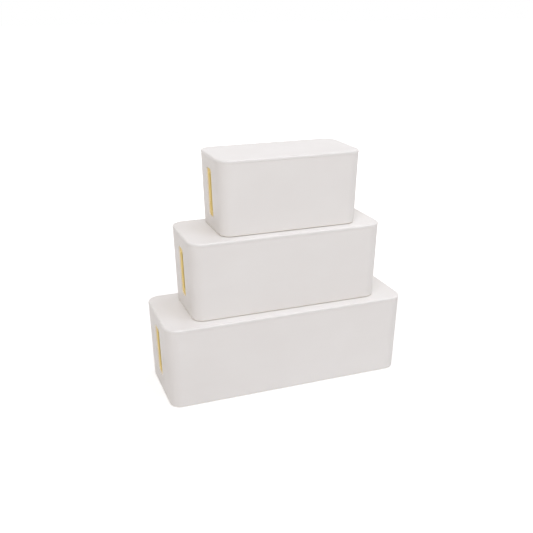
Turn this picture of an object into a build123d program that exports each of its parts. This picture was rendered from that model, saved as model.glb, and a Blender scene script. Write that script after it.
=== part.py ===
from build123d import *

import os
from dataclasses import dataclass
from math import cos, radians, sin, tan

# Three cable management boxes that stand on one another, the largest at the bottom.
# Each box is a drafted tray on four rubber feet, with a lift-off lid and, in both end
# walls, an upright slot for cables that a soft liner narrows, set back in the wall.
# Millimetres and degrees, +Z up, the boxes' length along X. The origin is below the
# middle of the large box, on the surface that it stands on. Left is -X, front is -Y.

# Outside sizes over the lid, and the full height from the feet to the top of the lid
LARGE_LENGTH = 400.0
LARGE_WIDTH = 147.0
LARGE_HEIGHT = 133.5
MEDIUM_LENGTH = 317.0
MEDIUM_WIDTH = 127.0
MEDIUM_HEIGHT = 126.0
SMALL_LENGTH = 233.0
SMALL_WIDTH = 115.0
SMALL_HEIGHT = 117.5

# How the upper boxes stand on the large one: middle of each from the middle of the large
MEDIUM_SHIFT_X = 3.0
MEDIUM_SHIFT_Y = 4.0
SMALL_SHIFT_X = 11.0
SMALL_SHIFT_Y = 9.5

# Cable slots in the end walls: width, lower end above the box's feet, upper end below the
# lid's skirt
LARGE_SLOT_WIDTH = 27.0
LARGE_SLOT_BOTTOM = 30.0
LARGE_SLOT_HEADROOM = 10.4
MEDIUM_SLOT_WIDTH = 24.0
MEDIUM_SLOT_BOTTOM = 24.2
MEDIUM_SLOT_HEADROOM = 10.4
SMALL_SLOT_WIDTH = 22.0
SMALL_SLOT_BOTTOM = 20.5
SMALL_SLOT_HEADROOM = 8.5
SLOT_CORNER = 5.0

# Moulded tray
CORNER_RADIUS = 22.0  # upright corners of the lid, seen from above
DRAFT = 1.8  # degrees, the walls lean outward towards the rim
WALL = 2.5
FLOOR = 3.0
BASE_RADIUS = 2.0  # outside, around the base
INNER_BEVEL = 1.0  # inside, between the walls and the floor
SEAM_BEVEL = 0.4  # on the rim and on the lid's lower edge: together the seam's groove

# Lid
LID_EDGE = 4.5  # height of the lid's visible edge
LID_SKIN = 2.5
LID_ROUND = 2.2
LID_OVERHANG = 0.4
LID_SKIRT_DEPTH = 8.0
LID_SKIRT_WALL = 1.8
LID_FIT = 0.4  # gap around the skirt inside the tray
LID_RIB_HEIGHT = 5.0
LID_RIB_WALL = 1.5
LID_RIB_PITCH = 46.0

# Slot liner: a soft frame in the slot, behind the wall's outer face, with a flange inside
LINER_SET_BACK = 1.6
LINER_FIT = 0.1  # gap around the frame in the slot
LINER_COVER = 8.0  # how far the frame reaches into the slot, all round
LINER_CORNER = 2.5  # of the passage through the liner
LINER_BEVEL = 0.3
FLANGE_WIDTH = 2.5
FLANGE_THICKNESS = 2.0

# Feet
FOOT_RADIUS = 6.0
FOOT_THICKNESS = 2.0
FOOT_PROUD = 0.6  # how far a foot stands out below the tray
FOOT_INSET = 22.0  # from the tray's base outline to the middle of a foot
FOOT_FIT = 0.15
FOOT_BEVEL = 0.4

CUT_PAST = 1.0  # how far a cut starts before a face, and ends past it

LEAN = radians(DRAFT)
WALL_INSET = WALL / cos(LEAN)  # the wall's thickness measured level
SIDES = {"left": -1, "right": 1}
DEPTHS = {"front": -1, "rear": 1}


@dataclass(frozen=True)
class BoxSize:
    """One box: its outside sizes, its slots and where it stands."""

    name: str
    length: float
    width: float
    height: float
    slot_width: float
    slot_bottom: float
    slot_headroom: float
    shift_x: float
    shift_y: float
    stand: float

    @property
    def rim(self) -> float:
        """Height of the tray's rim, where the lid rests."""
        return self.height - LID_EDGE

    @property
    def slot_top(self) -> float:
        """Height of the slot's upper end, clear of the lid's skirt."""
        return self.rim - LID_SKIRT_DEPTH - self.slot_headroom

    def place(self, piece: Part) -> Part:
        """Put a piece that was made around the box's own base where the box stands."""
        return Pos(self.shift_x, self.shift_y, self.stand) * piece


LARGE = BoxSize(
    name="large",
    length=LARGE_LENGTH,
    width=LARGE_WIDTH,
    height=LARGE_HEIGHT,
    slot_width=LARGE_SLOT_WIDTH,
    slot_bottom=LARGE_SLOT_BOTTOM,
    slot_headroom=LARGE_SLOT_HEADROOM,
    shift_x=0.0,
    shift_y=0.0,
    stand=0.0,
)
MEDIUM = BoxSize(
    name="medium",
    length=MEDIUM_LENGTH,
    width=MEDIUM_WIDTH,
    height=MEDIUM_HEIGHT,
    slot_width=MEDIUM_SLOT_WIDTH,
    slot_bottom=MEDIUM_SLOT_BOTTOM,
    slot_headroom=MEDIUM_SLOT_HEADROOM,
    shift_x=MEDIUM_SHIFT_X,
    shift_y=MEDIUM_SHIFT_Y,
    stand=LARGE.height,
)
SMALL = BoxSize(
    name="small",
    length=SMALL_LENGTH,
    width=SMALL_WIDTH,
    height=SMALL_HEIGHT,
    slot_width=SMALL_SLOT_WIDTH,
    slot_bottom=SMALL_SLOT_BOTTOM,
    slot_headroom=SMALL_SLOT_HEADROOM,
    shift_x=SMALL_SHIFT_X,
    shift_y=SMALL_SHIFT_Y,
    stand=MEDIUM.stand + MEDIUM.height,
)


def outline(box: BoxSize, inset: float, z: float) -> Sketch:
    """The lid's outline seen from above, drawn in by an inset, at a height."""
    shape = RectangleRounded(
        box.length - 2 * inset,
        box.width - 2 * inset,
        CORNER_RADIUS - inset,
    )
    return Pos(0, 0, z) * shape


def drafted_block(box: BoxSize, inset: float, top: float, depth: float) -> Part:
    """A block that hangs from its outline at the top and narrows with the draft."""
    return extrude(outline(box, inset, top), amount=-depth, taper=DRAFT)


def lowest_edges(piece: Part) -> ShapeList:
    """The edges around a piece's lowest face."""
    return piece.faces().sort_by(Axis.Z)[0].edges()


def highest_edges(piece: Part) -> ShapeList:
    """The edges around a piece's highest face."""
    return piece.faces().sort_by(Axis.Z)[-1].edges()


def slot_plane(box: BoxSize, side: int) -> Plane:
    """A plane on the outer face of an end wall at the slot's middle, its Z into the box."""
    middle = (box.slot_bottom + box.slot_top) / 2
    reach = box.length / 2 - LID_OVERHANG - (box.rim - middle) * tan(LEAN)
    inward = (-side * cos(LEAN), 0, sin(LEAN))
    return Plane(origin=(side * reach, 0, middle), x_dir=(0, 1, 0), z_dir=inward)


def slot_prism(box: BoxSize, side: int, grow: float, start: float, end: float) -> Part:
    """The slot's shape grown all round, between two depths behind the wall's outer face."""
    shape = RectangleRounded(
        box.slot_width + 2 * grow,
        (box.slot_top - box.slot_bottom) / cos(LEAN) + 2 * grow,
        max(SLOT_CORNER + grow, LINER_CORNER),
    )
    plane = slot_plane(box, side).offset(start)
    return extrude(plane * shape, amount=end - start)


def mouth_edges(piece: Part, box: BoxSize, side: int) -> ShapeList:
    """The edges around the face of a slot's piece that looks out of the box."""
    plane = slot_plane(box, side)
    return piece.faces().sort_by(Axis(plane.origin, plane.z_dir))[0].edges()


def foot_places(box: BoxSize) -> dict:
    """The middle of each foot, by its name."""
    base_inset = LID_OVERHANG + (box.rim - FOOT_PROUD) * tan(LEAN)
    reach_x = box.length / 2 - base_inset - FOOT_INSET
    reach_y = box.width / 2 - base_inset - FOOT_INSET
    places = {}
    for depth_name, depth in DEPTHS.items():
        for side_name, side in SIDES.items():
            places[f"{depth_name}_{side_name}"] = (side * reach_x, depth * reach_y)
    return places


def make_body(box: BoxSize) -> Part:
    """The tray: a drafted shell with a slot in each end wall and pockets for the feet."""
    body = drafted_block(box, LID_OVERHANG, box.rim, box.rim - FOOT_PROUD)
    body = fillet(lowest_edges(body), BASE_RADIUS)
    body = chamfer(highest_edges(body), SEAM_BEVEL)

    hollow_floor = FOOT_PROUD + FLOOR
    hollow = drafted_block(box, LID_OVERHANG + WALL_INSET, box.rim, box.rim - hollow_floor)
    hollow = chamfer(lowest_edges(hollow), INNER_BEVEL)
    body -= hollow

    for side in SIDES.values():
        body -= slot_prism(box, side, 0, -CUT_PAST, WALL + CUT_PAST)

    pocket = Cylinder(
        FOOT_RADIUS + FOOT_FIT,
        FOOT_THICKNESS - FOOT_PROUD + CUT_PAST,
        align=(Align.CENTER, Align.CENTER, Align.MAX),
    )
    for x, y in foot_places(box).values():
        body -= Pos(x, y, FOOT_THICKNESS) * pocket
    return body


def make_lid(box: BoxSize) -> Part:
    """The lid: a rounded plate, hollow below, with a skirt that drops inside the tray."""
    lid = extrude(outline(box, 0, box.rim), amount=LID_EDGE)
    lid = fillet(highest_edges(lid), LID_ROUND)
    lid = chamfer(lowest_edges(lid), SEAM_BEVEL)

    skirt_inset = LID_OVERHANG + WALL_INSET + LID_FIT
    lid += drafted_block(box, skirt_inset, box.rim, LID_SKIRT_DEPTH)

    hollow_inset = skirt_inset + LID_SKIRT_WALL
    hollow_bottom = box.rim - LID_SKIRT_DEPTH - CUT_PAST
    skin_bottom = box.rim + LID_EDGE - LID_SKIN
    lid -= extrude(outline(box, hollow_inset, hollow_bottom), amount=skin_bottom - hollow_bottom)
    return lid + lid_ribs(box, hollow_inset, skin_bottom)


def lid_ribs(box: BoxSize, hollow_inset: float, skin_bottom: float) -> Part:
    """Stiffening ribs under the lid: one along its middle and a row across it."""
    hang = (Align.CENTER, Align.CENTER, Align.MAX)
    into_skirt = LID_SKIRT_WALL / 2
    length = box.length - 2 * hollow_inset
    width = box.width - 2 * hollow_inset
    along = Box(length + 2 * into_skirt, LID_RIB_WALL, LID_RIB_HEIGHT, align=hang)
    across = Box(LID_RIB_WALL, width + 2 * into_skirt, LID_RIB_HEIGHT, align=hang)
    count = max(1, int(length // LID_RIB_PITCH))
    ribs = along
    for spot in GridLocations(LID_RIB_PITCH, 0, count, 1):
        ribs += spot * across
    return Pos(0, 0, skin_bottom) * ribs


def make_liner(box: BoxSize, side: int) -> Part:
    """The liner: a frame that narrows the slot, on a flange against the wall's inner face."""
    back = WALL + FLANGE_THICKNESS
    liner = slot_prism(box, side, -LINER_FIT, LINER_SET_BACK, WALL)
    liner += slot_prism(box, side, FLANGE_WIDTH, WALL, back)
    liner -= slot_prism(box, side, -LINER_COVER, LINER_SET_BACK - CUT_PAST, back + CUT_PAST)
    return chamfer(mouth_edges(liner, box, side), LINER_BEVEL)


def make_foot(x: float, y: float) -> Part:
    """A rubber foot: a disc with a bevelled lower edge."""
    disc = Cylinder(FOOT_RADIUS, FOOT_THICKNESS, align=(Align.CENTER, Align.CENTER, Align.MIN))
    disc = chamfer(lowest_edges(disc), FOOT_BEVEL)
    return Pos(x, y, 0) * disc


def make_box(box: BoxSize) -> dict:
    """Every piece of one box, by the name of its node, where the box stands."""
    pieces = {f"{box.name}_body": make_body(box), f"{box.name}_lid": make_lid(box)}
    for side_name, side in SIDES.items():
        pieces[f"{box.name}_slot_liner_{side_name}"] = make_liner(box, side)
    for place_name, (x, y) in foot_places(box).items():
        pieces[f"{box.name}_foot_{place_name}"] = make_foot(x, y)
    return {name: box.place(piece) for name, piece in pieces.items()}


os.makedirs("parts", exist_ok=True)
for size in (LARGE, MEDIUM, SMALL):
    for node, solid in make_box(size).items():
        export_step(solid, f"parts/{node}.step")
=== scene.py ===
"""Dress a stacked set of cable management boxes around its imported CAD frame.

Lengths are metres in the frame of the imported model: X along the boxes, Y to the rear, +Z up.
The trays and lids keep their CAD shapes and get moulded-plastic finishes. The slot liners and
the feet are modelled again with rounded edges, and the marks that a mould leaves are added.
"""

from __future__ import annotations

import logging
import math
from dataclasses import dataclass
from enum import Enum

import bmesh
import bpy
from mathutils import Euler, Matrix, Vector

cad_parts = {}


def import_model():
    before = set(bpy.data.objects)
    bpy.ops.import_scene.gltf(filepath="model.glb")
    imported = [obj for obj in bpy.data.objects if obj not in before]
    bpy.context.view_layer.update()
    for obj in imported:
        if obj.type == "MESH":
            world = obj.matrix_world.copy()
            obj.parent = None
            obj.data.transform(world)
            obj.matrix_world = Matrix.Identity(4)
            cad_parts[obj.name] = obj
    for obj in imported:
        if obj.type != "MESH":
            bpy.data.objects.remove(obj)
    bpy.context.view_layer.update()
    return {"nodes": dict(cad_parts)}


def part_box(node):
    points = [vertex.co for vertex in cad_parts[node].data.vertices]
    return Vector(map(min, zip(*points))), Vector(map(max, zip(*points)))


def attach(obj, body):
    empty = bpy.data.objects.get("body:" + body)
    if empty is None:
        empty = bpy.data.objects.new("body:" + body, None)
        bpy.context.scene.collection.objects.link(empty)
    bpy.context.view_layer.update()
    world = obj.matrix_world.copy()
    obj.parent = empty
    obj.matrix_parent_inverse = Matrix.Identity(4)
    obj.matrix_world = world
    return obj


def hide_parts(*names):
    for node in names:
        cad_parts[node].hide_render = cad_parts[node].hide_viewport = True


LOG = logging.getLogger("cable_boxes")
MM = 0.001

Colour = tuple[float, float, float, float]
Point = tuple[float, float, float]


class BoxName(Enum):
    """The three boxes of the set."""

    LARGE = "large"
    MEDIUM = "medium"
    SMALL = "small"


class Side(Enum):
    """The two ends of a box, by the direction of X in which each faces."""

    LEFT = -1
    RIGHT = 1

    @property
    def word(self) -> str:
        """The side's name as the CAD nodes spell it."""
        return self.name.lower()


class Depth(Enum):
    """The front and the rear of a box."""

    FRONT = "front"
    REAR = "rear"


# --------------------------------------------------------------------------- node trees


class NodeSheet:
    """A node tree that is filled by short calls."""

    # The places of a Mix node's colour sockets, which share their names with its other ones.
    MIX_SHARE, MIX_FIRST, MIX_SECOND, MIX_RESULT = 0, 6, 7, 2

    def __init__(self, tree: bpy.types.NodeTree) -> None:
        """Take a tree to fill.

        Args:
            tree: a shader, geometry or world node tree.
        """
        self.tree = tree

    def add(self, kind: str, **settings: object) -> bpy.types.Node:
        """Add a node.

        Args:
            kind: the node's Blender type.
            settings: properties of the node, by name.

        Returns:
            The new node.
        """
        node = self.tree.nodes.new(kind)
        for name, value in settings.items():
            setattr(node, name, value)
        return node

    def feed(self, node: bpy.types.Node, name: str | int, value: object) -> None:
        """Give an input a constant, or join it to another node's output.

        Args:
            node: the node that is fed.
            name: the input's name or place.
            value: a constant, or the output socket that feeds it.
        """
        if isinstance(value, bpy.types.NodeSocket):
            self.tree.links.new(value, node.inputs[name])
        else:
            node.inputs[name].default_value = value

    def math(self, operation: str, first: object, second: object = 0.0) -> bpy.types.NodeSocket:
        """Add a Math node.

        Args:
            operation: the node's operation.
            first: its first operand, a constant or a socket.
            second: its second operand.

        Returns:
            The node's result.
        """
        node = self.add("ShaderNodeMath", operation=operation)
        self.feed(node, 0, first)
        self.feed(node, 1, second)
        return node.outputs[0]

    def spread(
        self, value: object, low: float, high: float, to_low: float = 0.0, to_high: float = 1.0,
    ) -> bpy.types.NodeSocket:
        """Map a value from one range to another, clamped.

        Args:
            value: the socket that is mapped.
            low: the value that becomes to_low.
            high: the value that becomes to_high.
            to_low: the result at low.
            to_high: the result at high.

        Returns:
            The mapped value's socket.
        """
        node = self.add("ShaderNodeMapRange")
        for place, number in enumerate((value, low, high, to_low, to_high)):
            self.feed(node, place, number)
        return node.outputs[0]

    def noise(
        self, where: object, scale: object, detail: float, roughness: float = 0.5,
    ) -> bpy.types.NodeSocket:
        """Add three-dimensional noise.

        Args:
            where: the coordinates' socket.
            scale: how many features a metre holds.
            detail: octaves.
            roughness: how strong each finer octave is.

        Returns:
            The noise value's socket, about 0.5 on average.
        """
        node = self.add("ShaderNodeTexNoise")
        self.feed(node, "Vector", where)
        self.feed(node, "Scale", scale)
        self.feed(node, "Detail", detail)
        self.feed(node, "Roughness", roughness)
        return node.outputs["Fac"]

    def mapped(
        self, where: object, scale: Point, rotation: Point = (0.0, 0.0, 0.0),
    ) -> bpy.types.NodeSocket:
        """Turn and stretch coordinates.

        Args:
            where: the coordinates' socket.
            scale: a factor for each axis; a small one draws a pattern out along it.
            rotation: the turn about each axis, in radians.

        Returns:
            The new coordinates' socket.
        """
        node = self.add("ShaderNodeMapping")
        self.feed(node, "Vector", where)
        self.feed(node, "Rotation", rotation)
        self.feed(node, "Scale", scale)
        return node.outputs[0]

    def tint(self, share: object, first: object, second: object) -> bpy.types.NodeSocket:
        """Mix two colours.

        Args:
            share: how much of the second colour shows.
            first: the colour at share 0.
            second: the colour at share 1.

        Returns:
            The mixed colour's socket.
        """
        node = self.add("ShaderNodeMix", data_type="RGBA")
        self.feed(node, self.MIX_SHARE, share)
        self.feed(node, self.MIX_FIRST, first)
        self.feed(node, self.MIX_SECOND, second)
        return node.outputs[self.MIX_RESULT]


class GroupBuilder:
    """Builds each shared shader group once and hands it out again after that."""

    # Nearly all of a noise's values lie between these two.
    NOISE_RANGE = (0.3, 0.7)
    # Flow lines run level: they are drawn out along X and Y, and have this share in the tone.
    FLOW_STRETCH = (0.25, 0.25, 1.0)
    FLOW_SHARE = 0.3
    # Scuffs are drawn out into hairlines, which lie aslant.
    SCUFF_STRETCH = (0.06, 1.0, 1.0)
    SCUFF_TURN = (0.3, 0.2, 0.6)
    # The noise values between which smudges and scuffs come up.
    SMUDGE_RANGE = (0.4, 0.7)
    SCUFF_RANGE = (0.6, 0.7)

    def __init__(self) -> None:
        """Start with no groups."""
        self.made: dict[str, bpy.types.NodeTree] = {}

    def start(self, name: str, inputs: dict[str, float], outputs: dict[str, str]) -> NodeSheet:
        """Start a shader group.

        Args:
            name: the group's name.
            inputs: its number inputs and their defaults.
            outputs: its outputs and their socket types.

        Returns:
            The group's tree, ready to fill.
        """
        tree = bpy.data.node_groups.new(name, "ShaderNodeTree")
        for label, value in inputs.items():
            socket = tree.interface.new_socket(label, in_out="INPUT", socket_type="NodeSocketFloat")
            socket.default_value = value
        for label, kind in outputs.items():
            tree.interface.new_socket(label, in_out="OUTPUT", socket_type=kind)
        self.made[name] = tree
        return NodeSheet(tree)

    def mould_grain(self) -> bpy.types.NodeTree:
        """The spark-eroded grain that a mould leaves on plastic, as a height.

        Returns:
            The group.
        """
        if "mould_grain" in self.made:
            return self.made["mould_grain"]
        sheet = self.start(
            "mould_grain",
            {"Pits per metre": 1400.0, "Ripple per metre": 12.0, "Ripple share": 0.5},
            {"Height": "NodeSocketFloat", "Pits": "NodeSocketFloat"},
        )
        given = sheet.add("NodeGroupInput").outputs
        where = sheet.add("ShaderNodeTexCoord").outputs["Object"]
        pits = sheet.noise(where, given["Pits per metre"], detail=3.0, roughness=0.65)
        ripple = sheet.noise(where, given["Ripple per metre"], detail=1.0, roughness=0.4)
        rolled = sheet.math("MULTIPLY", ripple, given["Ripple share"])
        out = sheet.add("NodeGroupOutput")
        sheet.feed(out, "Height", sheet.math("ADD", pits, rolled))
        sheet.feed(out, "Pits", pits)
        return sheet.tree

    def tone_drift(self) -> bpy.types.NodeTree:
        """Slow changes of tone over a surface, and faint flow lines from moulding.

        Returns:
            The group.
        """
        if "tone_drift" in self.made:
            return self.made["tone_drift"]
        sheet = self.start(
            "tone_drift",
            {"Patches per metre": 9.0, "Flow per metre": 30.0},
            {"Drift": "NodeSocketFloat"},
        )
        given = sheet.add("NodeGroupInput").outputs
        where = sheet.add("ShaderNodeTexCoord").outputs["Object"]
        drawn_out = sheet.mapped(where, self.FLOW_STRETCH)
        patches = sheet.noise(where, given["Patches per metre"], detail=2.0)
        flow = sheet.noise(drawn_out, given["Flow per metre"], detail=3.0)
        both = sheet.math(
            "ADD",
            sheet.math("MULTIPLY", patches, 1.0 - self.FLOW_SHARE),
            sheet.math("MULTIPLY", flow, self.FLOW_SHARE),
        )
        out = sheet.add("NodeGroupOutput")
        sheet.feed(out, "Drift", sheet.spread(both, *self.NOISE_RANGE))
        return sheet.tree

    def handling(self) -> bpy.types.NodeTree:
        """Where hands and cloths have polished or dulled a surface, and hairline scuffs.

        Returns:
            The group.
        """
        if "handling" in self.made:
            return self.made["handling"]
        sheet = self.start(
            "handling",
            {"Smudges per metre": 22.0, "Scuffs per metre": 160.0, "Scuff share": 0.4},
            {"Wear": "NodeSocketFloat"},
        )
        given = sheet.add("NodeGroupInput").outputs
        where = sheet.add("ShaderNodeTexCoord").outputs["Object"]
        aslant = sheet.mapped(where, self.SCUFF_STRETCH, self.SCUFF_TURN)
        blurs = sheet.noise(where, given["Smudges per metre"], detail=3.0)
        smudges = sheet.spread(blurs, *self.SMUDGE_RANGE)
        hairs = sheet.noise(aslant, given["Scuffs per metre"], detail=4.0, roughness=0.7)
        scuffs = sheet.math("MULTIPLY", sheet.spread(hairs, *self.SCUFF_RANGE), given["Scuff share"])
        out = sheet.add("NodeGroupOutput")
        sheet.feed(out, "Wear", sheet.math("MAXIMUM", smudges, scuffs))
        return sheet.tree


@dataclass(frozen=True)
class MouldedFinish:
    """A moulded plastic or rubber surface.

    Colours are linear, with alpha. The tone moves between pale and deep, and the roughness
    between polished and dull, where hands and the mould have left it so; the grain's pits move
    it by up to fleck more. A finish may have a paler, warmer tone painted on the rounded edge
    of a base. This is painted light: it stands in for light bounced up from the surface below,
    and it lifts the shade where the base meets that surface. It begins between two values of
    the normal's Z at the wall and ends between two at the flat base.
    """

    name: str
    pale: Colour
    deep: Colour
    polished: float
    dull: float
    pits_per_metre: float
    grain_height: float
    ripple_share: float
    scuff_share: float
    # edge: a paler, warmer tone painted on the base's rounded edge, painted light standing in for
    # bounced light
    edge: Colour | None = None
    edge_from_wall: tuple[float, float] = (-0.05, -0.30)
    edge_from_base: tuple[float, float] = (-0.99, -0.90)
    fleck: float = 0.03
    refraction: float = 1.46

    def material(self, groups: GroupBuilder) -> bpy.types.Material:
        """Build the finish.

        Args:
            groups: the shared shader groups.

        Returns:
            The material.
        """
        material = bpy.data.materials.new(self.name)
        material.use_nodes = True
        sheet = NodeSheet(material.node_tree)
        sheet.tree.nodes.clear()
        grain = self._placed(sheet, groups.mould_grain(), {
            "Pits per metre": self.pits_per_metre,
            "Ripple share": self.ripple_share,
        })
        drift = self._placed(sheet, groups.tone_drift(), {})
        wear = self._placed(sheet, groups.handling(), {"Scuff share": self.scuff_share})

        skin = sheet.add("ShaderNodeBsdfPrincipled")
        tone = sheet.tint(drift.outputs["Drift"], self.deep, self.pale)
        # Painted light: the rounded base edge takes the paler edge tone, standing in for light bounced
        # up from below.
        if self.edge is not None:
            tone = sheet.tint(self._base_edge(sheet), tone, self.edge)
        sheet.feed(skin, "Base Color", tone)
        polish = sheet.spread(wear.outputs["Wear"], 0.0, 1.0, self.dull, self.polished)
        flecks = sheet.spread(grain.outputs["Pits"], *groups.NOISE_RANGE, -self.fleck, self.fleck)
        sheet.feed(skin, "Roughness", sheet.math("ADD", polish, flecks))
        sheet.feed(skin, "IOR", self.refraction)
        bump = sheet.add("ShaderNodeBump")
        sheet.feed(bump, "Strength", 1.0)
        sheet.feed(bump, "Distance", self.grain_height)
        sheet.feed(bump, "Height", grain.outputs["Height"])
        sheet.feed(skin, "Normal", bump.outputs[0])
        out = sheet.add("ShaderNodeOutputMaterial")
        sheet.feed(out, "Surface", skin.outputs[0])
        return material

    def _base_edge(self, sheet: NodeSheet) -> bpy.types.NodeSocket:
        """Where the painted bounce light goes: the rounded edge where a wall turns into the base, not
        the flat base.

        Args:
            sheet: the material's tree.

        Returns:
            The mask's socket.
        """
        turn = sheet.add("ShaderNodeSeparateXYZ")
        sheet.feed(turn, 0, sheet.add("ShaderNodeTexCoord").outputs["Normal"])
        past_wall = sheet.spread(turn.outputs["Z"], *self.edge_from_wall)
        before_base = sheet.spread(turn.outputs["Z"], *self.edge_from_base)
        return sheet.math("MINIMUM", past_wall, before_base)

    @staticmethod
    def _placed(
        sheet: NodeSheet, group: bpy.types.NodeTree, values: dict[str, float],
    ) -> bpy.types.Node:
        """Place a shared group in a material with its own values.

        Args:
            sheet: the material's tree.
            group: the shared group.
            values: its inputs, by name.

        Returns:
            The group's node.
        """
        node = sheet.add("ShaderNodeGroup", node_tree=group)
        for name, value in values.items():
            sheet.feed(node, name, value)
        return node


TRAY_WHITE = MouldedFinish(
    name="tray_white_plastic",
    pale=(0.845, 0.83, 0.81, 1.0),
    deep=(0.815, 0.795, 0.775, 1.0),
    polished=0.40,
    dull=0.52,
    pits_per_metre=1500.0,
    grain_height=0.00006,
    ripple_share=0.8,
    scuff_share=0.15,
    # Painted light: a paler, warmer rounded base edge, standing in for light bounced up from the
    # surface below.
    edge=(0.95, 0.92, 0.85, 1.0),
)
LID_WHITE = MouldedFinish(
    name="lid_white_plastic",
    pale=(0.85, 0.835, 0.82, 1.0),
    deep=(0.82, 0.805, 0.785, 1.0),
    polished=0.30,
    dull=0.42,
    pits_per_metre=1900.0,
    grain_height=0.00004,
    ripple_share=0.8,
    scuff_share=0.3,
)
LINER_GOLD = MouldedFinish(
    name="liner_golden_rubber",
    pale=(0.94, 0.74, 0.29, 1.0),
    deep=(0.90, 0.69, 0.24, 1.0),
    polished=0.42,
    dull=0.58,
    pits_per_metre=2600.0,
    grain_height=0.00004,
    ripple_share=0.3,
    scuff_share=0.1,
)
FOOT_GREY = MouldedFinish(
    name="foot_grey_rubber",
    pale=(0.56, 0.55, 0.53, 1.0),
    deep=(0.48, 0.47, 0.45, 1.0),
    polished=0.55,
    dull=0.75,
    pits_per_metre=2600.0,
    grain_height=0.00008,
    ripple_share=0.2,
    scuff_share=0.5,
)


# --------------------------------------------------------------------------- mesh tools


def facing(place: Point, aim: Point) -> Euler:
    """The turn that makes a lamp or a camera at one point face another."""
    return (Vector(aim) - Vector(place)).to_track_quat("-Z", "Y").to_euler()


def linked_object(name: str, mesh: bpy.types.Mesh) -> bpy.types.Object:
    """Put a mesh in the scene as an object at the origin.

    Args:
        name: the piece's name.
        mesh: its mesh, already in place.

    Returns:
        The object.
    """
    piece = bpy.data.objects.new(name, mesh)
    bpy.context.scene.collection.objects.link(piece)
    return piece


def smooth(mesh: bpy.types.Mesh, crease: float = math.radians(35)) -> None:
    """Shade a mesh smooth, but for edges sharper than a crease angle.

    Args:
        mesh: the mesh.
        crease: the angle in radians.
    """
    mesh.shade_smooth()
    mesh.set_sharp_from_angle(angle=crease)


def rounded_profile(
    corners: list[tuple[float, float, float]], steps: int = 5,
) -> list[tuple[float, float]]:
    """A closed outline with its corners rounded.

    Args:
        corners: each corner's two coordinates and its rounding radius.
        steps: points along each rounded corner, less one.

    Returns:
        The outline's points in order.
    """
    points: list[tuple[float, float]] = []
    for i, (x, y, radius) in enumerate(corners):
        here = Vector((x, y))
        back = (Vector(corners[i - 1][:2]) - here).normalized()
        ahead = (Vector(corners[(i + 1) % len(corners)][:2]) - here).normalized()
        if radius <= 0:
            points.append((x, y))
            continue
        half = back.angle(ahead) / 2
        reach = radius / math.tan(half)
        centre = here + (back + ahead).normalized() * (radius / math.sin(half))
        start = here + back * reach - centre
        end = here + ahead * reach - centre
        sweep = start.angle_signed(end)
        for k in range(steps + 1):
            turn = -sweep * k / steps
            spot = centre + Matrix.Rotation(turn, 2) @ start
            points.append((spot.x, spot.y))
    return points


def rounded_rectangle(
    width: float, height: float, radius: float, steps: int,
) -> list[tuple[float, float]]:
    """A rectangle with round corners, centred on the origin.

    Args:
        width: its size along the first axis.
        height: its size along the second axis.
        radius: the corners' radius.
        steps: points along each corner, less one.

    Returns:
        The outline's points, counter-clockwise.
    """
    points = []
    for quarter, (sx, sy) in enumerate(((1, 1), (-1, 1), (-1, -1), (1, -1))):
        centre = (sx * (width / 2 - radius), sy * (height / 2 - radius))
        for k in range(steps + 1):
            angle = math.pi / 2 * (quarter + k / steps)
            points.append((centre[0] + radius * math.cos(angle), centre[1] + radius * math.sin(angle)))
    return points


def ring_mesh(name: str, rings: list[list[Vector]], closed: bool) -> bpy.types.Mesh:
    """Join rings of as many points each into a skin.

    Args:
        name: the mesh's name.
        rings: the rings in order.
        closed: whether the last ring joins the first; otherwise both end rings are capped.

    Returns:
        The mesh, its faces outward.
    """
    shape = bmesh.new()
    rows = [[shape.verts.new(point) for point in ring] for ring in rings]
    pairs = list(zip(rows, rows[1:]))
    if closed:
        pairs.append((rows[-1], rows[0]))
    for low, high in pairs:
        for i in range(len(low)):
            j = (i + 1) % len(low)
            shape.faces.new((low[i], low[j], high[j], high[i]))
    if not closed:
        shape.faces.new(rows[0][::-1])
        shape.faces.new(rows[-1])
    bmesh.ops.recalc_face_normals(shape, faces=shape.faces)
    mesh = bpy.data.meshes.new(name)
    shape.to_mesh(mesh)
    shape.free()
    smooth(mesh)
    return mesh


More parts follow.
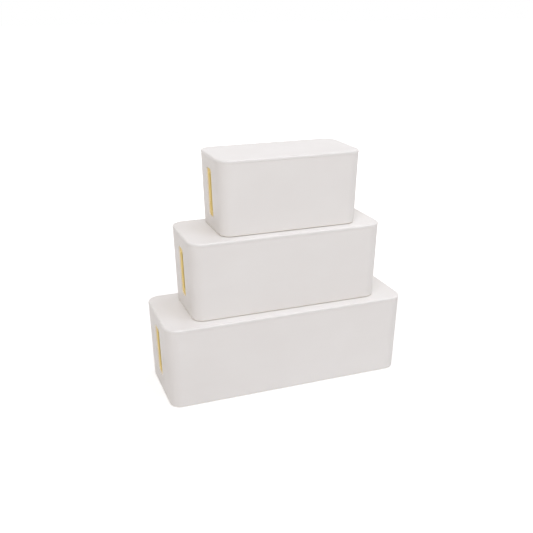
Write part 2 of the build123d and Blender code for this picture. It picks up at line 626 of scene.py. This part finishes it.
class GeometryRecipe:
    """A Geometry Nodes tree with named inputs, run once to make a plain mesh."""

    def __init__(self, name: str) -> None:
        """Start an empty tree with a geometry output.

        Args:
            name: the tree's name.
        """
        tree = bpy.data.node_groups.new(name, "GeometryNodeTree")
        tree.interface.new_socket("Geometry", in_out="OUTPUT", socket_type="NodeSocketGeometry")
        self.sheet = NodeSheet(tree)
        self.given: dict[str, bpy.types.NodeSocket] = {}

    def take(self, inputs: dict[str, str]) -> None:
        """Name the tree's inputs.

        Args:
            inputs: each input's socket type, by its name.
        """
        for label, kind in inputs.items():
            self.sheet.tree.interface.new_socket(label, in_out="INPUT", socket_type=kind)
        node = self.sheet.add("NodeGroupInput")
        self.given = {label: node.outputs[label] for label in inputs}

    def on_grid(self, shape: object, columns: object, rows: object) -> bpy.types.NodeSocket:
        """Repeat a shape on the points of a level grid.

        The grid takes its size and place from the inputs Span X, Span Y and Middle.

        Args:
            shape: the shape's socket.
            columns: how many points along X.
            rows: how many points along Y.

        Returns:
            The repeated shapes' socket.
        """
        grid = self.sheet.add("GeometryNodeMeshGrid")
        for name, value in (
            ("Size X", self.given["Span X"]),
            ("Size Y", self.given["Span Y"]),
            ("Vertices X", columns),
            ("Vertices Y", rows),
        ):
            self.sheet.feed(grid, name, value)
        placed = self.sheet.add("GeometryNodeInstanceOnPoints")
        self.sheet.feed(placed, "Points", grid.outputs["Mesh"])
        self.sheet.feed(placed, "Instance", shape)
        moved = self.sheet.add("GeometryNodeTransform")
        self.sheet.feed(moved, "Geometry", placed.outputs[0])
        self.sheet.feed(moved, "Translation", self.given["Middle"])
        return moved.outputs[0]

    def end(self, geometry: bpy.types.NodeSocket, material: bpy.types.NodeSocket) -> None:
        """Close the tree with Realize Instances and Set Material.

        Args:
            geometry: what the tree has made.
            material: the material input's socket.
        """
        real = self.sheet.add("GeometryNodeRealizeInstances")
        self.sheet.feed(real, "Geometry", geometry)
        dressed = self.sheet.add("GeometryNodeSetMaterial")
        self.sheet.feed(dressed, "Geometry", real.outputs[0])
        self.sheet.feed(dressed, "Material", material)
        out = self.sheet.add("NodeGroupOutput")
        self.sheet.feed(out, "Geometry", dressed.outputs[0])

    def run(self, name: str, values: dict[str, object]) -> bpy.types.Object:
        """Make the tree's geometry as a plain mesh.

        Args:
            name: the piece's name.
            values: the tree's inputs, by name.

        Returns:
            The piece, at the origin and with no modifier.
        """
        seed = linked_object(name + "_seed", bpy.data.meshes.new(name + "_seed"))
        modifier = seed.modifiers.new("recipe", "NODES")
        modifier.node_group = self.sheet.tree
        for item in self.sheet.tree.interface.items_tree:
            if item.item_type == "SOCKET" and item.in_out == "INPUT":
                modifier[item.identifier] = values[item.name]
        graph = bpy.context.evaluated_depsgraph_get()
        mesh = bpy.data.meshes.new_from_object(seed.evaluated_get(graph), depsgraph=graph)
        mesh.name = name
        bpy.data.objects.remove(seed)
        smooth(mesh)
        return linked_object(name, mesh)


# --------------------------------------------------------------------------- sub-assemblies


@dataclass
class SlotLiner:
    """The soft golden frame that narrows one cable slot, set back in the wall.

    Its section is given by how far a point lies outside the slot's edge, negative inside it,
    and how deep it lies behind the wall's outer face.
    """

    box: str
    side: Side
    lean: float = math.radians(1.8)
    wall: float = 2.5 * MM
    set_back: float = 1.6 * MM
    fit: float = 0.1 * MM
    cover: float = 8.0 * MM
    slot_corner: float = 5.0 * MM
    passage_corner: float = 2.5 * MM
    flange_width: float = 2.5 * MM
    flange_thickness: float = 2.0 * MM
    bead_width: float = 2.2 * MM
    land_width: float = 0.8 * MM
    dish_depth: float = 0.35 * MM
    mouth_round: float = 0.7 * MM
    edge_round: float = 0.25 * MM
    corner_steps: int = 8

    @property
    def node(self) -> str:
        """The CAD node that the liner stands for."""
        return f"{self.box}_slot_liner_{self.side.word}"

    @property
    def back(self) -> float:
        """How deep the liner's inner face lies behind the wall's outer face."""
        return self.wall + self.flange_thickness

    @property
    def flange_half_height(self) -> float:
        """Half the flange's length up the wall, from the height of its CAD node.

        Returns:
            The length in metres.
        """
        low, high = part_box(self.node)
        height = high.z - low.z - self.flange_thickness * math.sin(self.lean)
        return height / (2 * math.cos(self.lean))

    def seat(self) -> Matrix:
        """The slot's own frame: X to the rear, Y up the wall, Z into the box.

        Returns:
            A matrix from that frame, with its origin on the wall's outer face, to the model's.
        """
        low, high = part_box(self.node)
        outward = self.side.value
        sine, cosine = math.sin(self.lean), math.cos(self.lean)
        inner_end = high.x if self.side is Side.LEFT else low.x
        origin = Vector((
            inner_end + outward * (self.flange_half_height * sine + self.back * cosine),
            (low.y + high.y) / 2,
            (low.z + high.z) / 2 - (self.wall + self.back) / 2 * sine,
        ))
        level = Vector((0.0, 1.0, 0.0))
        up = Vector((outward * sine, 0.0, cosine))
        inward = Vector((-outward * cosine, 0.0, sine))
        turn = Matrix((level, up, inward)).transposed()
        return Matrix.Translation(origin) @ turn.to_4x4()

    def slot_size(self) -> tuple[float, float]:
        """The width and height of the slot in the wall."""
        low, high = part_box(self.node)
        return high.y - low.y - 2 * self.flange_width, 2 * (self.flange_half_height - self.flange_width)

    def section(self) -> list[tuple[float, float]]:
        """The liner's section, closed: a bead around the passage, a dished face and a land.

        Returns:
            Points of growth and depth.
        """
        bead, land = self.bead_width - self.cover, -self.fit - self.land_width
        dish = self.set_back + self.dish_depth
        return rounded_profile([
            (-self.cover, self.set_back, self.mouth_round),
            (bead, self.set_back, self.edge_round),
            (bead + self.dish_depth, dish, self.edge_round),
            (land - self.dish_depth, dish, self.edge_round),
            (land, self.set_back, self.edge_round / 2),
            (-self.fit, self.set_back, self.edge_round),
            (-self.fit, self.wall, 0.0),
            (self.flange_width, self.wall, 0.0),
            (self.flange_width, self.back, 2 * self.edge_round),
            (-self.cover, self.back, self.edge_round),
        ])

    def build(self, material: bpy.types.Material, body: str) -> bpy.types.Object:
        """Make the liner and seat it in its slot.

        Args:
            material: its finish.
            body: the CAD body that it rides on.

        Returns:
            The piece.
        """
        seat = self.seat()
        width, height = self.slot_size()
        rings = []
        for grow, depth in self.section():
            corner = max(self.slot_corner + grow, self.passage_corner)
            loop = rounded_rectangle(width + 2 * grow, height + 2 * grow, corner, self.corner_steps)
            rings.append([seat @ Vector((x, y, depth)) for x, y in loop])
        mesh = ring_mesh(self.node + "_soft", rings, closed=True)
        mesh.materials.append(material)
        piece = linked_object(mesh.name, mesh)
        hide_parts(self.node)
        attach(piece, body)
        return piece


@dataclass
class Feet:
    """The four rubber feet of one box, each a disc with round grooves in its sole."""

    box: str
    edge_round: float = 0.5 * MM
    groove_width: float = 0.5 * MM
    groove_depth: float = 0.35 * MM
    groove_pitch: float = 1.4 * MM
    grooves: int = 3
    edge_steps: int = 4
    segments: int = 48

    def nodes(self) -> list[str]:
        """The CAD nodes of the four feet."""
        return [f"{self.box}_foot_{depth.value}_{side.word}" for depth in Depth for side in Side]

    def section(self, radius: float, height: float) -> list[tuple[float, float]]:
        """Half the foot's section, from the middle of its sole to the middle of its top.

        Args:
            radius: the foot's radius.
            height: its thickness.

        Returns:
            Points of radius and height.
        """
        points = []
        for groove in range(1, self.grooves + 1):
            middle = groove * self.groove_pitch
            near, far = middle - self.groove_width / 2, middle + self.groove_width / 2
            points += [(near, 0.0), (near, self.groove_depth), (far, self.groove_depth), (far, 0.0)]
        for k in range(self.edge_steps + 1):
            angle = math.pi / 2 * k / self.edge_steps
            points.append((
                radius - self.edge_round * (1 - math.sin(angle)),
                self.edge_round * (1 - math.cos(angle)),
            ))
        points.append((radius, height))
        return points

    def pattern(self) -> bpy.types.Object:
        """One foot, standing on the origin, that the recipe repeats.

        Returns:
            The foot.
        """
        low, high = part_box(self.nodes()[0])
        rings = []
        for radius, level in self.section((high.x - low.x) / 2, high.z - low.z):
            turns = (2 * math.pi * k / self.segments for k in range(self.segments))
            rings.append([Vector((radius * math.cos(a), radius * math.sin(a), level)) for a in turns])
        return linked_object(self.box + "_foot_pattern", ring_mesh("foot_pattern", rings, closed=False))

    @staticmethod
    def recipe() -> GeometryRecipe:
        """A foot on each corner of a rectangle.

        Returns:
            The recipe.
        """
        recipe = GeometryRecipe("feet_on_corners")
        recipe.take({
            "Foot": "NodeSocketObject",
            "Span X": "NodeSocketFloat",
            "Span Y": "NodeSocketFloat",
            "Middle": "NodeSocketVector",
            "Rubber": "NodeSocketMaterial",
        })
        foot = recipe.sheet.add("GeometryNodeObjectInfo")
        recipe.sheet.feed(foot, "Object", recipe.given["Foot"])
        corners = recipe.on_grid(foot.outputs["Geometry"], columns=2, rows=2)
        recipe.end(corners, recipe.given["Rubber"])
        return recipe

    def build(
        self, recipe: GeometryRecipe, material: bpy.types.Material, body: str,
    ) -> bpy.types.Object:
        """Make the four feet as one piece and put it in the pockets.

        Args:
            recipe: the tree that repeats a foot.
            material: the feet's finish.
            body: the CAD body that they ride on.

        Returns:
            The piece.
        """
        spots = [(low + high) / 2 for low, high in map(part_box, self.nodes())]
        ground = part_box(self.nodes()[0])[0].z
        low_x, high_x = min(s.x for s in spots), max(s.x for s in spots)
        low_y, high_y = min(s.y for s in spots), max(s.y for s in spots)
        pattern = self.pattern()
        piece = recipe.run(self.box + "_feet", {
            "Foot": pattern,
            "Span X": high_x - low_x,
            "Span Y": high_y - low_y,
            "Middle": ((low_x + high_x) / 2, (low_y + high_y) / 2, ground),
            "Rubber": material,
        })
        bpy.data.objects.remove(pattern)
        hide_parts(*self.nodes())
        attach(piece, body)
        return piece


@dataclass
class EjectorMarks:
    """The rings that ejector pins leave on the hidden side of a moulding."""

    piece_name: str
    middle: Point
    span: tuple[float, float]
    columns: int
    rows: int
    pin_radius: float = 3.0 * MM
    ring_height: float = 0.12 * MM

    @staticmethod
    def recipe(ring_segments: int = 40, bead_segments: int = 6) -> GeometryRecipe:
        """Rings on the points of a level grid.

        Args:
            ring_segments: points around a ring.
            bead_segments: points around its section.

        Returns:
            The recipe.
        """
        recipe = GeometryRecipe("ejector_rings")
        recipe.take({
            "Span X": "NodeSocketFloat",
            "Span Y": "NodeSocketFloat",
            "Columns": "NodeSocketInt",
            "Rows": "NodeSocketInt",
            "Pin Radius": "NodeSocketFloat",
            "Ring Height": "NodeSocketFloat",
            "Middle": "NodeSocketVector",
            "Plastic": "NodeSocketMaterial",
        })
        sheet, given = recipe.sheet, recipe.given
        path = sheet.add("GeometryNodeCurvePrimitiveCircle")
        sheet.feed(path, "Resolution", ring_segments)
        sheet.feed(path, "Radius", given["Pin Radius"])
        bead = sheet.add("GeometryNodeCurvePrimitiveCircle")
        sheet.feed(bead, "Resolution", bead_segments)
        sheet.feed(bead, "Radius", given["Ring Height"])
        ring = sheet.add("GeometryNodeCurveToMesh")
        sheet.feed(ring, "Curve", path.outputs["Curve"])
        sheet.feed(ring, "Profile Curve", bead.outputs["Curve"])
        rings = recipe.on_grid(ring.outputs["Mesh"], given["Columns"], given["Rows"])
        recipe.end(rings, given["Plastic"])
        return recipe

    def build(
        self, recipe: GeometryRecipe, material: bpy.types.Material, body: str, slot: str,
    ) -> bpy.types.Object:
        """Make the rings.

        Args:
            recipe: the tree that repeats a ring.
            material: the moulding's own finish.
            body: the CAD body that they ride on.
            slot: the moulding's material slot; not used.

        Returns:
            The piece.
        """
        piece = recipe.run(self.piece_name, {
            "Span X": self.span[0],
            "Span Y": self.span[1],
            "Columns": self.columns,
            "Rows": self.rows,
            "Pin Radius": self.pin_radius,
            "Ring Height": self.ring_height,
            "Middle": self.middle,
            "Plastic": material,
        })
        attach(piece, body)
        return piece


@dataclass(frozen=True)
class Finishes:
    """The built materials of the set."""

    tray: bpy.types.Material
    lid: bpy.types.Material
    liner: bpy.types.Material
    foot: bpy.types.Material

    @classmethod
    def build(cls) -> Finishes:
        """Build every finish once.

        Returns:
            The materials.
        """
        groups = GroupBuilder()
        return cls(
            tray=TRAY_WHITE.material(groups),
            lid=LID_WHITE.material(groups),
            liner=LINER_GOLD.material(groups),
            foot=FOOT_GREY.material(groups),
        )


@dataclass(frozen=True)
class Recipes:
    """The geometry trees that the boxes share."""

    feet: GeometryRecipe
    rings: GeometryRecipe

    @classmethod
    def build(cls) -> Recipes:
        """Build every tree once."""
        return cls(feet=Feet.recipe(), rings=EjectorMarks.recipe())


@dataclass
class CableBox:
    """One box of the set: tray, lid, slot liners, feet and the marks of its mould."""

    name: BoxName
    tray_floor: float = 3.0 * MM
    lid_skin: float = 2.5 * MM
    lid_rib_pitch: float = 46.0 * MM
    lid_skirt_inset: float = 5.1 * MM
    pin_inset: float = 34.0 * MM
    pin_pitch: float = 78.0 * MM

    @property
    def tray_body(self) -> str:
        """The CAD body of the tray."""
        return f"{self.name.value}_box"

    @property
    def lid_body(self) -> str:
        """The CAD body of the lid."""
        return f"{self.name.value}_cover"

    def _floor_marks(self) -> EjectorMarks:
        """The rings on the tray's floor, spread evenly over it.

        Returns:
            The marks, not yet built.
        """
        low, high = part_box(f"{self.name.value}_body")
        span_x = high.x - low.x - 2 * self.pin_inset
        return EjectorMarks(
            piece_name=f"{self.name.value}_tray_ejector_marks",
            middle=((low.x + high.x) / 2, (low.y + high.y) / 2, low.z + self.tray_floor),
            span=(span_x, high.y - low.y - 2 * self.pin_inset),
            columns=max(2, round(span_x / self.pin_pitch) + 1),
            rows=2,
        )

    def _lid_marks(self) -> EjectorMarks:
        """The rings under the lid: one in each cell between its ribs, on either side.

        Returns:
            The marks, not yet built.
        """
        low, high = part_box(f"{self.name.value}_lid")
        cells = int((high.x - low.x - 2 * self.lid_skirt_inset) // self.lid_rib_pitch) - 1
        return EjectorMarks(
            piece_name=f"{self.name.value}_lid_ejector_marks",
            middle=((low.x + high.x) / 2, (low.y + high.y) / 2, high.z - self.lid_skin),
            span=((cells - 1) * self.lid_rib_pitch, (high.y - low.y) / 2),
            columns=cells,
            rows=2,
        )

    def build(self, nodes: dict[str, bpy.types.Object], finishes: Finishes, recipes: Recipes) -> int:
        """Dress the box.

        Args:
            nodes: the CAD nodes by name.
            finishes: the built materials.
            recipes: the geometry trees.

        Returns:
            How many pieces were made.
        """
        word = self.name.value
        self._paint(nodes[f"{word}_body"], finishes.tray)
        self._paint(nodes[f"{word}_lid"], finishes.lid)
        made = [SlotLiner(word, side).build(finishes.liner, self.tray_body) for side in Side]
        made.append(Feet(word).build(recipes.feet, finishes.foot, self.tray_body))
        made.append(self._floor_marks().build(
            recipes.rings, finishes.tray, self.tray_body, "tray_plastic"))
        made.append(self._lid_marks().build(
            recipes.rings, finishes.lid, self.lid_body, "lid_plastic"))
        for piece in made:
            LOG.info("%s: %d faces", piece.name, len(piece.data.polygons))
        return len(made)

    @staticmethod
    def _paint(node: bpy.types.Object, material: bpy.types.Material) -> None:
        """Give a CAD node its finish in place of the frame's plain one.

        Args:
            node: the CAD node.
            material: its finish.
        """
        if not node.material_slots:
            node.data.materials.append(material)
        for place in node.material_slots:
            place.material = material


# --------------------------------------------------------------------------- the studio


@dataclass(frozen=True)
class SoftBox:
    """A square studio lamp that faces the boxes; its power is in watts."""

    name: str
    place: Point
    power: float
    colour: tuple[float, float, float]
    aim: Point = (0.0, 0.0, 0.2)
    size: float = 3.0

    def build(self) -> bpy.types.Object:
        """Hang the lamp.

        Returns:
            The lamp's object.
        """
        lamp = bpy.data.lights.new(self.name, "AREA")
        lamp.shape = "SQUARE"
        lamp.size = self.size
        lamp.energy = self.power
        lamp.color = self.colour
        holder = bpy.data.objects.new(self.name, lamp)
        holder.location = self.place
        holder.rotation_euler = facing(self.place, self.aim)
        bpy.context.scene.collection.objects.link(holder)
        return holder


@dataclass(frozen=True)
class Studio:
    """A pale floor, an even white room and soft lamps.

    The floor glows where it is seen: by lift_near up to lift_from metres from the boxes, so that
    their shadow shows, and from there more and more, up to lift_far at lift_to metres.
    """

    room_light: float = 0.32
    room_tint: tuple[float, float, float] = (1.10, 1.0, 0.90)
    floor_colour: Colour = (0.78, 0.78, 0.78, 1.0)
    floor_size: float = 30.0
    lift_near: float = 0.42
    lift_far: float = 1.0
    lift_from: float = 0.35
    lift_to: float = 1.8
    lamps: tuple[SoftBox, ...] = (
        SoftBox("left_front", (-1.70, -2.94, 3.60), 89.0, (0.99, 0.98, 1.0)),
        SoftBox("overhead", (0.0, -0.84, 4.92), 62.0, (0.86, 0.88, 1.0)),
        SoftBox("right_front", (2.40, -2.40, 3.60), 42.0, (0.85, 0.91, 1.0)),
        SoftBox("left_rear", (-2.94, 2.94, 2.60), 6.0, (1.0, 0.74, 0.50)),
        SoftBox("right_rear", (3.56, 1.66, 2.96), 31.0, (1.0, 1.0, 1.0)),
    )

    def build(self) -> None:
        """Set up the room, the floor and the lamps."""
        self._room()
        self._floor()
        for lamp in self.lamps:
            lamp.build()
        bpy.context.scene.view_settings.view_transform = "Standard"

    @staticmethod
    def _seen_directly(sheet: NodeSheet) -> bpy.types.NodeSocket:
        """Whether a ray comes from the camera, off a gloss or through glass.

        Args:
            sheet: the tree of the material or the world.

        Returns:
            The answer's socket, 1 or 0.
        """
        path = sheet.add("ShaderNodeLightPath").outputs
        direct = sheet.math("MAXIMUM", path["Is Camera Ray"], path["Is Glossy Ray"])
        return sheet.math("MAXIMUM", direct, path["Is Transmission Ray"])

    def _room(self) -> None:
        """A world that lights evenly and shows as white."""
        world = bpy.data.worlds.new("white_room")
        world.use_nodes = True
        bpy.context.scene.world = world
        sheet = NodeSheet(world.node_tree)
        sheet.tree.nodes.clear()
        lit = sheet.add("ShaderNodeBackground")
        sheet.feed(lit, "Color", (*self.room_tint, 1.0))
        sheet.feed(lit, "Strength", self.room_light)
        shown = sheet.add("ShaderNodeBackground")
        sheet.feed(shown, "Color", (1.0, 1.0, 1.0, 1.0))
        sheet.feed(shown, "Strength", 1.0)
        choice = sheet.add("ShaderNodeMixShader")
        sheet.feed(choice, 0, self._seen_directly(sheet))
        sheet.feed(choice, 1, lit.outputs[0])
        sheet.feed(choice, 2, shown.outputs[0])
        out = sheet.add("ShaderNodeOutputWorld")
        sheet.feed(out, "Surface", choice.outputs[0])

    def _floor(self) -> None:
        """A plain square on the ground, which is no part of the object."""
        half = self.floor_size / 2
        corners = [(-half, -half, 0.0), (half, -half, 0.0), (half, half, 0.0), (-half, half, 0.0)]
        mesh = bpy.data.meshes.new("studio_floor")
        mesh.from_pydata(corners, [], [(0, 1, 2, 3)])
        mesh.materials.append(self._floor_material())
        linked_object("studio_floor", mesh)

    def _floor_material(self) -> bpy.types.Material:
        """Matt, lifted to white where it is seen, less so near the boxes, and clear from below.

        Returns:
            The material.
        """
        material = bpy.data.materials.new("studio_floor_white")
        material.use_nodes = True
        sheet = NodeSheet(material.node_tree)
        sheet.tree.nodes.clear()
        matt = sheet.add("ShaderNodeBsdfDiffuse")
        sheet.feed(matt, "Color", self.floor_colour)
        away = sheet.add("ShaderNodeVectorMath", operation="LENGTH")
        sheet.feed(away, 0, sheet.add("ShaderNodeTexCoord").outputs["Object"])
        level = sheet.spread(
            away.outputs["Value"], self.lift_from, self.lift_to, self.lift_near, self.lift_far)
        lift = sheet.add("ShaderNodeEmission")
        sheet.feed(lift, "Strength", sheet.math("MULTIPLY", self._seen_directly(sheet), level))
        both = sheet.add("ShaderNodeAddShader")
        sheet.feed(both, 0, matt.outputs[0])
        sheet.feed(both, 1, lift.outputs[0])
        below = sheet.add("ShaderNodeMixShader")
        sheet.feed(below, 0, sheet.add("ShaderNodeNewGeometry").outputs["Backfacing"])
        sheet.feed(below, 1, both.outputs[0])
        sheet.feed(below, 2, sheet.add("ShaderNodeBsdfTransparent").outputs[0])
        out = sheet.add("ShaderNodeOutputMaterial")
        sheet.feed(out, "Surface", below.outputs[0])
        return material


@dataclass(frozen=True)
class ViewPoint:
    """The camera: a fairly long lens, a little above the boxes and to their left."""

    place: Point = (-0.40319, -1.03422, 0.60074)
    aim: Point = (0.03027, 0.11963, 0.14063)
    lens: float = 49.17
    sensor: float = 36.0

    def build(self) -> bpy.types.Object:
        """Place the camera and make it the scene's.

        Returns:
            The camera.
        """
        data = bpy.data.cameras.new("view_point")
        data.lens = self.lens
        data.sensor_width = self.sensor
        camera = bpy.data.objects.new("view_point", data)
        camera.location = self.place
        camera.rotation_euler = facing(self.place, self.aim)
        bpy.context.scene.collection.objects.link(camera)
        bpy.context.scene.camera = camera
        return camera


def main() -> None:
    """Load the frame, dress each box and set up the studio."""
    logging.basicConfig(level=logging.INFO, format="%(name)s: %(message)s")
    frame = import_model()
    ViewPoint().build()
    finishes = Finishes.build()
    recipes = Recipes.build()
    for name in BoxName:
        count = CableBox(name).build(frame["nodes"], finishes, recipes)
        LOG.info("%s box: %d pieces made", name.value, count)
    Studio().build()


if __name__ == "__main__":
    main()
